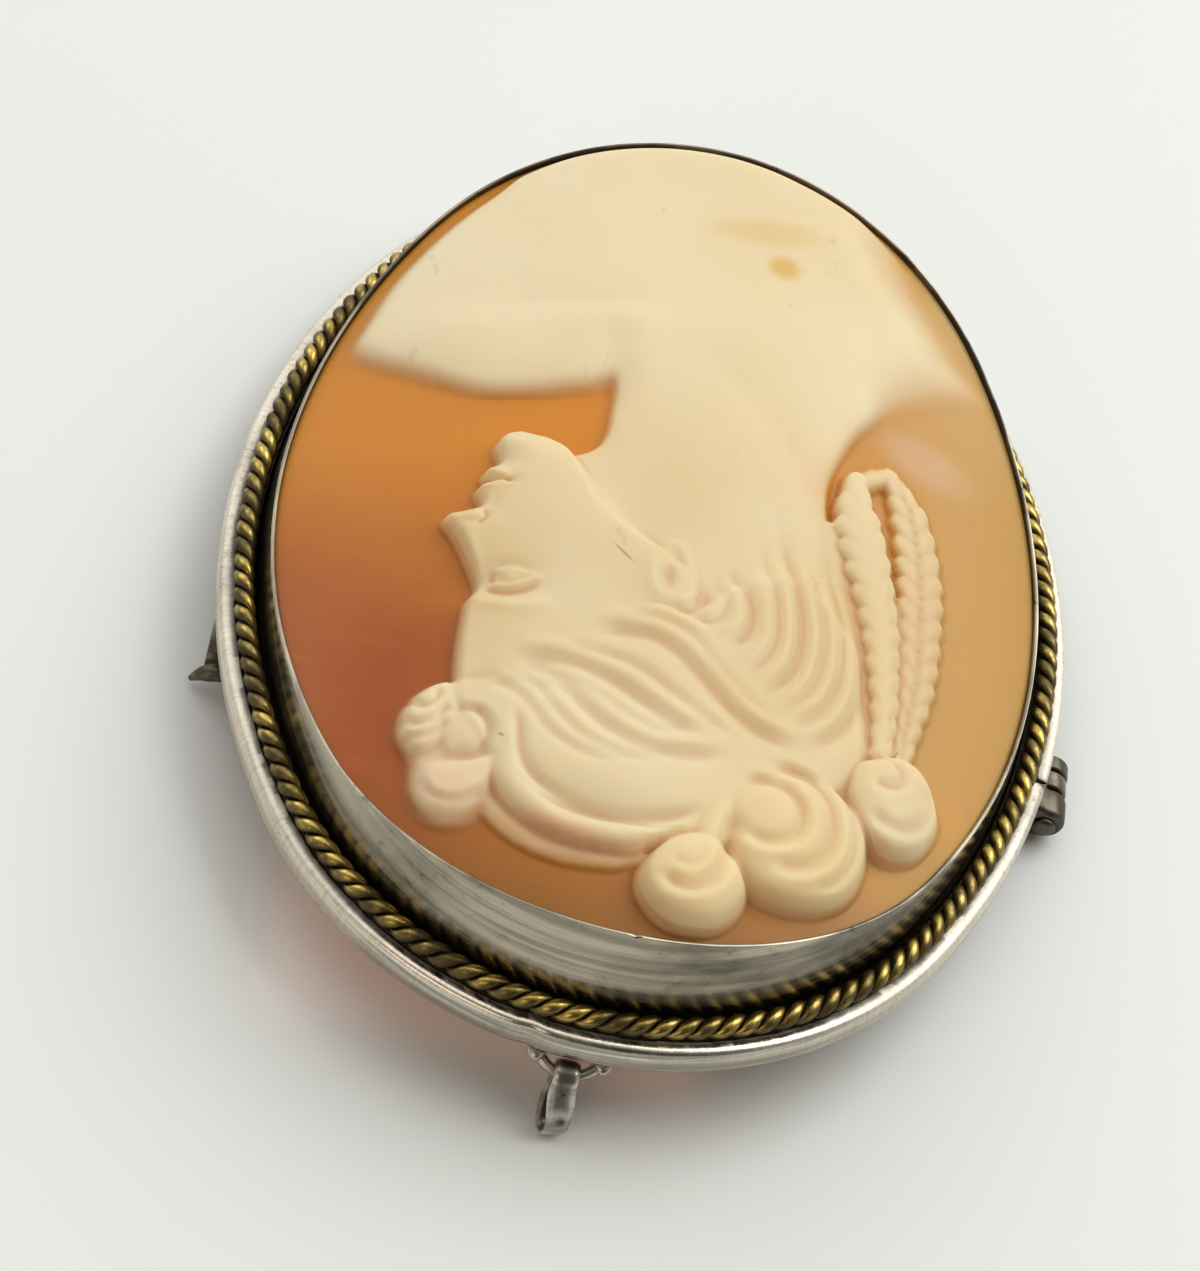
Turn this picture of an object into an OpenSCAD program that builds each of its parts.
// Cameo brooch: a carved shell oval in a tall silver collar, with a twisted brass
// rope in the trough round it, a hinged pin, its catch and a small swinging bail.
// The brooch is drawn flat, with Z = 0 at the back of its plate, X to the wearer's
// left and Y to the top of the portrait. laid() then tips it as it lies on a table,
// on its hinge, its catch and the far edge of its rim.

/* [Rim and plate] */
// Width of the oval over the rim
rim_w = 40; // [38:0.5:44]
// Height of the oval over the rim
rim_h = 51.5; // [49:0.5:56]
// Radius of the oval's round ends
rim_end_r = 17.8; // [17:0.1:18.4]
// Height of the oval rim wire
wire_h = 1.6; // [1.4:0.05:1.8]
// Width of the oval rim wire
wire_w = 0.76; // [0.7:0.02:0.84]
// Thickness of the back plate
plate_t = 0.7; // [0.6:0.05:0.8]

/* [Collar] */
// Height of the collar's edge over the plate, at the top and bottom of the oval
collar_h = 6.9; // [6.4:0.1:7.8]
// Thickness of the collar
collar_t = 0.35; // [0.3:0.05:0.4]
// How far the collar leans in from its foot to its edge
collar_lean = 0.5; // [0.3:0.05:0.6]

/* [Rope] */
// Diameter of the twisted rope
rope_d = 1.04; // [1:0.01:1.06]
// Turns of the rope's strands round the oval
rope_turns = 71; // [66:1:72]
// Distance of the rope's middle from the rim's outer edge
rope_off = 1.12; // [1.06:0.01:1.2]
// Height over the plate of the ledge that the rope lies on
ledge_h = 1.18; // [1:0.02:1.3]

/* [Cameo] */
// Radius of the shell's curve across the oval
shell_r = 47.7; // [44:0.1:56]
// Depth of the ground under the collar's edge
ground_drop = 0.3; // [0.2:0.05:0.5]
// Height of the highest curl over the ground
relief_h = 2.4; // [1.8:0.1:2.8]

/* [Pin and hinge] */
// Length of the hinge barrel
barrel_l = 3.5; // [3.3:0.1:4.2]
// Radius of the hinge barrel
barrel_r = 1; // [0.9:0.05:1.1]
// Distance from the oval's middle to the near end of the barrel
barrel_y = 2.65; // [2:0.05:3]
// Radius of the hinge rivet
rivet_r = 0.35; // [0.3:0.01:0.4]
// Radius of the pin's stem
stem_r = 0.42; // [0.36:0.01:0.46]

/* [Catch] */
// Outer radius of the catch's hook
hook_r = 1.3; // [1.25:0.05:1.4]
// Thickness of the hook's strip
hook_t = 0.5; // [0.4:0.05:0.55]
// Length of the hook along the pin
hook_l = 2.1; // [1.6:0.1:2.4]
// Distance from the oval's middle to the hook
hook_y = 6.9; // [6.5:0.1:7.4]

/* [Bail] */
// Radius of the bail ring's wire
ring_wire_r = 0.22; // [0.2:0.01:0.26]
// Distance of the bail ring from the oval's middle line
ring_x = 0.25; // [0:0.05:0.5]
// Distance between the centres of the bail's two bends
bail_l = 2.4; // [2.3:0.05:2.9]
// Thickness of the bail's strap
bail_t = 0.28; // [0.25:0.01:0.3]
// Width of the bail's strap at its middle
bail_w = 1.25; // [1.1:0.05:1.3]
// Width of the bail's strap at its bends
bail_end_w = 1.1; // [1:0.05:1.15]

/* [Clearances] */
// Gap between pieces that lie together
gap = 0.05; // [0.04:0.01:0.06]
// Radial gap of the rivet in the barrel
rivet_gap = 0.04; // [0.03:0.01:0.06]
// Gap between the bail and the wire that it hangs on
bail_gap = 0.2; // [0.18:0.01:0.24]

/* [Hidden] */
$fn = 96;
eps = 0.01;

// The oval has two end arcs and two side arcs that meet on one tangent.
half_w = rim_w / 2;
half_h = rim_h / 2;
end_y = half_h - rim_end_r;
side_r = (half_w * half_w + half_h * half_h - 2 * half_h * rim_end_r)
         / (2 * (half_w - rim_end_r));
side_x = side_r - half_w;
join_angle = atan2(end_y, side_x);
arcs = [
    // centre x, centre y, radius, first angle, sweep
    [-side_x, 0, side_r, -join_angle, 2 * join_angle],
    [0, end_y, rim_end_r, join_angle, 180 - 2 * join_angle],
    [side_x, 0, side_r, 180 - join_angle, 2 * join_angle],
    [0, -end_y, rim_end_r, 180 + join_angle, 180 - 2 * join_angle],
];
arc_steps = 24;

// The rim wire is let into the edge of the plate.
plate_off = wire_w * 0.65;
wire_z = plate_t * 0.6 + wire_h / 2;
wire_sides = 8;

// The rope lies on a ledge, clear of the rim wire, against the foot of the collar.
rope_z = plate_t + ledge_h + gap + rope_d / 2;
ledge_off = rope_off - rope_d / 4;
collar_top = plate_t + collar_h;
collar_low = plate_t / 2;
rope_share = (rope_z - collar_low) / (collar_top - collar_low);
collar_foot = rope_off + rope_d / 2 + gap - collar_lean * rope_share;
collar_off = collar_foot + collar_lean;
collar_in = collar_off + collar_t;
// Axis of the round surface that trims the collar and shapes the shell.
curve_z = collar_top - ground_drop - shell_r;

// The strands of the rope.
strand_r = rope_d * 0.226;
strand_reach = rope_d / 2 - strand_r;
strand_sides = 5;
strand_rings = 6;

// The shell's oval and its hollow back.
shell_off = collar_in + gap;
shell_w = half_w - shell_off;
shell_l = half_h - shell_off;
hollow_r = sqrt(pow(plate_t + gap - curve_z, 2) + shell_w * shell_w);
cells_x = 44;
cells_y = 50;

// The hinge stands under the rim on the side away from the catch.
barrel_x = -(half_w + barrel_r / 10);
barrel_z = -barrel_r + gap;
knuckle_gap = 2 * gap;
knuckle_near = barrel_l * 0.22;
knuckle_pin = 2 * stem_r + 2 * gap;
knuckle_far = barrel_l - knuckle_near - knuckle_pin - 2 * knuckle_gap;
pin_y = barrel_y + knuckle_near + knuckle_gap + knuckle_pin / 2;
rivet_head_r = rivet_r * 1.7;
rivet_head_t = rivet_r * 0.7;

// How the brooch lies: one plane touches the barrel's near end and the plate's far edge.
lie_tilt = atan2(barrel_r - barrel_z, barrel_y + half_h - plate_off);
function table_z(y) = barrel_z - barrel_r - (y - barrel_y) * tan(lie_tilt);

// The catch comes down to the same plane as the hinge.
hook_x = half_w * 0.913;
hook_z = table_z(hook_y) + hook_r / cos(lie_tilt);
hook_mouth = 80;
hook_lip = 40;

// The stem runs from its knuckle to the mouth of the catch.
stem_y = hook_y + hook_r * 0.85;
stem_turn = atan2(stem_y - pin_y, hook_x - barrel_x);
stem_run = (half_w - 1.5 * wire_w - barrel_x) / cos(stem_turn);
stem_z = hook_z - hook_r + hook_t + stem_r + gap;
stem_tip_l = stem_r * 2.8;
stem_tip_r = stem_r * 0.3;
stem_tip_bend = 36;

// The bail hangs on its ring and leans out until it meets the table.
bail_in_r = ring_wire_r + bail_gap;
bail_out_r = bail_in_r + bail_t;
ring_y = half_h - gap;
ring_z = -sqrt(pow(bail_out_r + 2 * gap, 2) - pow(plate_off - gap, 2));
strap_gap = 1.5 * gap;
ring_r = ring_wire_r + (pow(bail_end_w / 2, 2) + pow(bail_gap, 2) - pow(strap_gap, 2))
         / (2 * (bail_gap - strap_gap));
ring_rise = asin((plate_t / 4 - ring_z) / ring_r);
bail_drop = (ring_z - table_z(ring_y)) * cos(lie_tilt) - bail_out_r;
bail_lean = acos(bail_drop / bail_l) - lie_tilt;
bail_side_r = (pow(bail_l / 2, 2) + pow((bail_w - bail_end_w) / 2, 2))
              / (bail_w - bail_end_w);

// Carved masses. The first four columns are shares of the shell's half width or
// half length, the height is a share of relief_h and soft says how round the top is.
X = 0;
Y = 1;
LONG = 2;
WIDE = 3;
TURN = 4;
HIGH = 5;
SOFT = 6;
masses = [
    // x, y, half length, half width, turn, height, soft
    [0.16, -0.70, 0.72, 0.52, 0, 0.46, 0.20],
    [0.10, 0.34, 0.42, 0.46, 0, 0.52, 0.30],
    [0.36, 0.20, 0.20, 0.42, 0, 0.46, 0.30],
    [0.01, 0.57, 0.50, 0.40, 5, 0.66, 0.45],
    [-0.28, 0.26, 0.30, 0.46, 0, 0.60, 0.35],
    [0.40, 0.59, 0.17, 0.15, 40, 0.62, 0.45],
    [0.49, 0.72, 0.13, 0.15, 10, 0.70, 0.50],
    [0.54, 0.57, 0.09, 0.10, 0, 0.58, 0.50],
    [0.30, 0.79, 0.22, 0.08, -20, 0.66, 0.50],
    [-0.15, 0.89, 0.15, 0.155, 0, 0.90, 0.50],
    [-0.40, 0.72, 0.21, 0.205, 0, 1.00, 0.50],
    [-0.65, 0.565, 0.14, 0.16, 10, 0.86, 0.50],
];

// Carved limbs: round bars between two points, with a radius at each end.
FROM_R = 4;
TO_R = 5;
BAR_HIGH = 6;
BAR_SOFT = 7;
bars = [
    // x, y, to x, to y, radius, to radius, height, soft
    [-0.07, 0.00, -0.05, -0.50, 0.32, 0.36, 0.44, 0.28],
    [0.45, -0.44, 0.80, -0.345, 0.20, 0.11, 0.38, 0.35],
    [-0.10, -0.60, -0.70, -0.52, 0.22, 0.12, 0.30, 0.35],
    [0.34, 0.30, 0.37, -0.02, 0.18, 0.12, 0.46, 0.35],
    [0.42, 0.30, 0.47, 0.21, 0.10, 0.09, 0.38, 0.50],
    [-0.67, 0.43, -0.72, 0.15, 0.060, 0.060, 0.52, 0.45],
    [-0.72, 0.15, -0.69, -0.10, 0.060, 0.060, 0.52, 0.45],
    [-0.69, -0.10, -0.59, -0.24, 0.060, 0.055, 0.50, 0.45],
    [-0.58, 0.42, -0.58, 0.14, 0.060, 0.060, 0.58, 0.45],
    [-0.58, 0.14, -0.47, -0.15, 0.060, 0.075, 0.58, 0.45],
];

// Height of one mass at a point given in millimetres.
function mass_at(m, x, y) =
    let (dx = x - m[X] * shell_w,
         dy = y - m[Y] * shell_l,
         u = (dx * cos(m[TURN]) + dy * sin(m[TURN])) / (m[LONG] * shell_w),
         v = (dy * cos(m[TURN]) - dx * sin(m[TURN])) / (m[WIDE] * shell_w),
         inside = 1 - u * u - v * v)
    inside <= 0 ? 0 : m[HIGH] * relief_h * pow(inside, m[SOFT]);

// Height of one bar at a point.
function bar_at(b, x, y) =
    let (ax = b[0] * shell_w,
         ay = b[1] * shell_l,
         bx = b[2] * shell_w - ax,
         by = b[3] * shell_l - ay,
         along = ((x - ax) * bx + (y - ay) * by) / (bx * bx + by * by),
         s = min(1, max(0, along)),
         r = (b[FROM_R] + (b[TO_R] - b[FROM_R]) * s) * shell_w,
         inside = 1 - pow(norm([x - ax - s * bx, y - ay - s * by]) / r, 2))
    inside <= 0 ? 0 : b[BAR_HIGH] * relief_h * pow(inside, b[BAR_SOFT]);

// The highest carved form at a point, faded out under the collar's edge.
function carved(x, y, edge) =
    max(concat([for (m = masses) mass_at(m, x, y)], [for (b = bars) bar_at(b, x, y)]))
    * min(1, edge * shell_w / collar_t / 2);

// Distance from the centre to the oval's edge, along a direction.
function oval_reach(angle, off) =
    let (c = abs(cos(angle)),
         s = abs(sin(angle)),
         join = [(side_r - off) * cos(join_angle) - side_x,
                 (side_r - off) * sin(join_angle)])
    s * join[0] < c * join[1]
    ? sqrt(pow(side_r - off, 2) - pow(side_x * s, 2)) - side_x * c
    : sqrt(pow(rim_end_r - off, 2) - pow(end_y * c, 2)) + end_y * s;

// A point of the shell's grid: a square spread over the oval.
function grid_point(i, j) =
    let (u = 2 * i / cells_x - 1,
         v = 2 * j / cells_y - 1,
         dx = u * sqrt(1 - v * v / 2),
         dy = v * sqrt(1 - u * u / 2),
         reach = oval_reach(atan2(dy, dx), shell_off))
    [dx * reach, dy * reach, 1 - norm([dx, dy])];

function on_curve(x, r) = curve_z + sqrt(r * r - x * x);

// Steps round the edge of the grid, anticlockwise from one corner.
function edge_cell(k) =
    k < cells_x ? [k, 0]
    : k < cells_x + cells_y ? [cells_x, k - cells_x]
    : k < 2 * cells_x + cells_y ? [2 * cells_x + cells_y - k, cells_y]
    : [0, 2 * (cells_x + cells_y) - k];

// Length of the oval, a distance inside the rim's outer edge.
function lap_length(off) =
    4 * ((side_r - off) * join_angle + (rim_end_r - off) * (90 - join_angle)) * PI / 180;

// Centre, radius and angle of the oval at a distance along it from the +X side.
function oval_arc(d, off) =
    let (a = (side_r - off) * join_angle * PI / 180,
         b = (rim_end_r - off) * (180 - 2 * join_angle) * PI / 180,
         side_deg = 180 / PI / (side_r - off),
         end_deg = 180 / PI / (rim_end_r - off))
    d < a ? [-side_x, 0, side_r - off, d * side_deg]
    : d < a + b ? [0, end_y, rim_end_r - off, join_angle + (d - a) * end_deg]
    : d < 3 * a + b ? [side_x, 0, side_r - off, 180 - join_angle + (d - a - b) * side_deg]
    : d < 3 * a + 2 * b
      ? [0, -end_y, rim_end_r - off, 180 + join_angle + (d - 3 * a - b) * end_deg]
    : [-side_x, 0, side_r - off, 360 - join_angle + (d - 3 * a - 2 * b) * side_deg];

// The points of the oval, a distance inside the rim's outer edge.
function oval_points(off) =
    [for (arc = arcs) for (i = [0:arc_steps - 1])
        let (angle = arc[3] + arc[4] * i / arc_steps)
        [arc[0] + (arc[2] - off) * cos(angle), arc[1] + (arc[2] - off) * sin(angle)]];

// Skin faces between closed rings of points, the last ring joined to the first.
function ring_faces(rings, sides) =
    [for (k = [0:rings - 1]) for (s = [0:sides - 1]) each
        let (a = k * sides + s,
             b = k * sides + (s + 1) % sides,
             c = ((k + 1) % rings) * sides + s,
             d = ((k + 1) % rings) * sides + (s + 1) % sides)
        [[a, c, b], [b, c, d]]];

module oval(off) {
    polygon(oval_points(off));
}

// Tips the flat brooch as it lies on the table, about the middle of its back.
module laid() {
    rotate([lie_tilt, 0, 0]) children();
}

module back_plate() {
    linear_extrude(plate_t) oval(plate_off);
}

module rim_wire() {
    profile = [for (i = [0:wire_sides - 1])
        let (a = 360 * i / wire_sides)
        [wire_w / 2 * (1 + cos(a)), wire_z + wire_h / 2 * sin(a)]];
    loops = [for (q = profile) oval_points(q[0])];
    steps = len(loops[0]);
    points = [for (k = [0:steps - 1]) for (i = [0:wire_sides - 1])
        [loops[i][k][0], loops[i][k][1], profile[i][1]]];
    polyhedron(points = points, faces = ring_faces(steps, wire_sides), convexity = 8);
}

// The ledge under the rope, soldered to the plate and to the foot of the collar.
module rope_ledge() {
    translate([0, 0, collar_low])
        linear_extrude(rope_z - rope_d / 2 - gap - collar_low)
        difference() {
            oval(ledge_off);
            oval(collar_foot + collar_t / 2);
        }
}

// The collar leans in a little, and its edge follows the shell's curve across the oval.
module collar() {
    foot = [oval_points(collar_foot), oval_points(collar_foot + collar_t)];
    edge = [oval_points(collar_in), oval_points(collar_off)];
    steps = len(foot[0]);
    points = [for (k = [0:steps - 1]) each concat(
        [for (loop = foot) [loop[k][0], loop[k][1], collar_low]],
        [for (loop = edge)
            [loop[k][0], loop[k][1], on_curve(loop[k][0], shell_r + ground_drop)]])];
    polyhedron(points = points, faces = ring_faces(steps, 4), convexity = 8);
}

// One knuckle of the hinge, along Y from its near end.
module knuckle(y, length, r) {
    translate([barrel_x, y, barrel_z])
        rotate([-90, 0, 0])
        cylinder(r = r, h = length);
}

module rivet_hole() {
    translate([barrel_x, barrel_y - 1, barrel_z])
        rotate([-90, 0, 0])
        cylinder(r = rivet_r + rivet_gap, h = barrel_l + 2);
}

// The soldered foot that carries a knuckle under the plate.
module knuckle_foot(y, length) {
    foot_in = barrel_x + 2 * barrel_r;
    translate([barrel_x, y, barrel_z])
        cube([foot_in - barrel_x, length, -barrel_z]);
    translate([foot_in - barrel_r, y, -eps])
        cube([barrel_r, length, plate_t / 2]);
}

module hinge_knuckles() {
    far_y = barrel_y + barrel_l - knuckle_far;
    difference() {
        union() {
            knuckle(barrel_y, knuckle_near, barrel_r);
            knuckle_foot(barrel_y, knuckle_near);
            knuckle(far_y, knuckle_far, barrel_r);
            knuckle_foot(far_y, knuckle_far);
        }
        rivet_hole();
    }
}

// The hook is open towards +Y, where the stem lies in its mouth.
module catch_hook() {
    translate([hook_x - hook_l / 2, hook_y, hook_z])
        rotate([90, 0, 90])
        rotate_extrude(angle = 360 - hook_mouth - hook_lip, start = hook_lip)
        translate([hook_r - hook_t, 0])
        square([hook_t, hook_l]);
}

// A half ring whose ends are soldered into the rim's underside.
module bail_ring() {
    translate([ring_x, ring_y, ring_z])
        rotate([-ring_rise, 0, 0])
        translate([0, -ring_r, 0])
        rotate_extrude(angle = 180)
        translate([ring_r, 0])
        circle(r = ring_wire_r, $fn = 32);
}

module setting() {
    color("silver")
        laid()
        union() {
            back_plate();
            rim_wire();
            rope_ledge();
            collar();
            hinge_knuckles();
            catch_hook();
            bail_ring();
        }
}

// The shell is one closed skin: carved face, straight edge and hollow back.
module cameo() {
    row = cells_x + 1;
    rim_n = 2 * (cells_x + cells_y);
    flat = [for (j = [0:cells_y]) for (i = [0:cells_x]) grid_point(i, j)];
    face = [for (p = flat)
        [p[0], p[1], on_curve(p[0], shell_r) + carved(p[0], p[1], p[2])]];
    edge = [for (k = [0:rim_n - 1]) let (c = edge_cell(k)) c[1] * row + c[0]];
    back = [for (k = edge) [face[k][0], face[k][1], on_curve(face[k][0], hollow_r)]];
    b0 = len(face);
    color("peachpuff")
        laid()
        polyhedron(points = concat(face, back), faces = concat(
            [for (j = [0:cells_y - 1]) for (i = [0:cells_x - 1]) each
                let (a = j * row + i)
                [[a, a + row, a + 1], [a + 1, a + row, a + row + 1]]],
            [for (k = [0:rim_n - 1]) each
                let (n = (k + 1) % rim_n)
                [[edge[k], edge[n], b0 + k], [edge[n], b0 + n, b0 + k]]],
            // The back is laid in strips along Y, which are flat on the hollow curve.
            [for (k = [0:cells_x - 1]) each
                let (m = 2 * cells_x + cells_y - k)
                [[b0 + k, b0 + k + 1, b0 + m], [b0 + k + 1, b0 + m - 1, b0 + m]]],
            [for (k = [0:cells_y / 2 - 1]) each
                let (r0 = cells_x + k,
                     r1 = cells_x + cells_y - k,
                     l0 = (rim_n - k) % rim_n,
                     l1 = 2 * cells_x + cells_y + k)
                concat(
                    r0 + 1 == r1 - 1
                    ? [[b0 + r0, b0 + r0 + 1, b0 + r1]]
                    : [[b0 + r0, b0 + r0 + 1, b0 + r1], [b0 + r0 + 1, b0 + r1 - 1, b0 + r1]],
                    l1 + 1 == (l0 == 0 ? rim_n : l0) - 1
                    ? [[b0 + l0, b0 + l1, b0 + l1 + 1]]
                    : [[b0 + l0, b0 + l1, b0 + l0 - 1 + (l0 == 0 ? rim_n : 0)],
                       [b0 + l0 - 1 + (l0 == 0 ? rim_n : 0), b0 + l1, b0 + l1 + 1]])]),
            convexity = 6);
}

// One strand of the rope: a left-handed helix round the oval, closed on itself.
module rope_strand(phase) {
    n = rope_turns * strand_rings;
    lap = lap_length(rope_off);
    twist = 360 / strand_rings;
    points = [for (k = [0:n - 1])
        let (arc = oval_arc(lap * k / n, rope_off),
             out = [cos(arc[3]), sin(arc[3]), 0],
             ahead = [-sin(arc[3]), cos(arc[3]), 0],
             turn = phase + twist * k,
             off = out * cos(turn) + [0, 0, 1] * sin(turn),
             side = [0, 0, 1] * cos(turn) - out * sin(turn),
             slope = 2 * PI * strand_reach * rope_turns / lap,
             along = ahead + side * slope,
             dir = along / norm(along),
             across = cross(dir, off),
             centre = [arc[0], arc[1], rope_z] + out * arc[2] + off * strand_reach)
        for (s = [0:strand_sides - 1])
            let (a = 360 * s / strand_sides)
            centre + (off * cos(a) + across * sin(a)) * strand_r];
    color("goldenrod")
        laid()
        polyhedron(points = points, faces = ring_faces(n, strand_sides), convexity = 8);
}

module rope_strand_a() {
    rope_strand(90);
}

module rope_strand_b() {
    rope_strand(270);
}

module hinge_rivet() {
    color("dimgray")
        laid()
        union() {
            knuckle(barrel_y - gap - rivet_head_t, barrel_l + 2 * (gap + rivet_head_t), rivet_r);
            knuckle(barrel_y - gap - rivet_head_t, rivet_head_t, rivet_head_r);
            knuckle(barrel_y + barrel_l + gap, rivet_head_t, rivet_head_r);
        }
}

// The stem, from its knuckle to a tapered tip that is bent a little down.
module pin_stem() {
    color("gray")
        laid()
        difference() {
            union() {
                knuckle(pin_y - knuckle_pin / 2, knuckle_pin, barrel_r - gap);
                translate([barrel_x, pin_y, stem_z])
                    rotate([0, 0, stem_turn])
                    rotate([0, 90, 0]) {
                        cylinder(r = stem_r, h = stem_run);
                        translate([0, 0, stem_run])
                            sphere(r = stem_r);
                        translate([0, 0, stem_run])
                            rotate([0, stem_tip_bend, 0])
                            cylinder(r1 = stem_r, r2 = stem_tip_r, h = stem_tip_l);
                    }
            }
            rivet_hole();
        }
}

// The bail: a long loop of strap, widest at its middle, round the ring's wire.
module bail() {
    color("silver")
        laid()
        translate([ring_x, ring_y, ring_z])
        rotate([bail_lean, 0, 0])
        intersection() {
            rotate([90, 0, 90])
                linear_extrude(2 * bail_w, center = true)
                difference() {
                    bail_outline(bail_out_r);
                    bail_outline(bail_in_r);
                }
            translate([0, 0, -bail_l / 2])
                rotate([90, 0, 0])
                linear_extrude(4 * bail_out_r, center = true)
                intersection_for (way = [-1, 1])
                translate([way * (bail_side_r - bail_w / 2), 0])
                circle(r = bail_side_r, $fn = 180);
        }
}

// The loop seen from its side: two bends joined by straight legs.
module bail_outline(r) {
    circle(r = r);
    translate([0, -bail_l]) circle(r = r);
    translate([-r, -bail_l]) square([2 * r, bail_l]);
}

setting();
cameo();
rope_strand_a();
rope_strand_b();
hinge_rivet();
pin_stem();
bail();
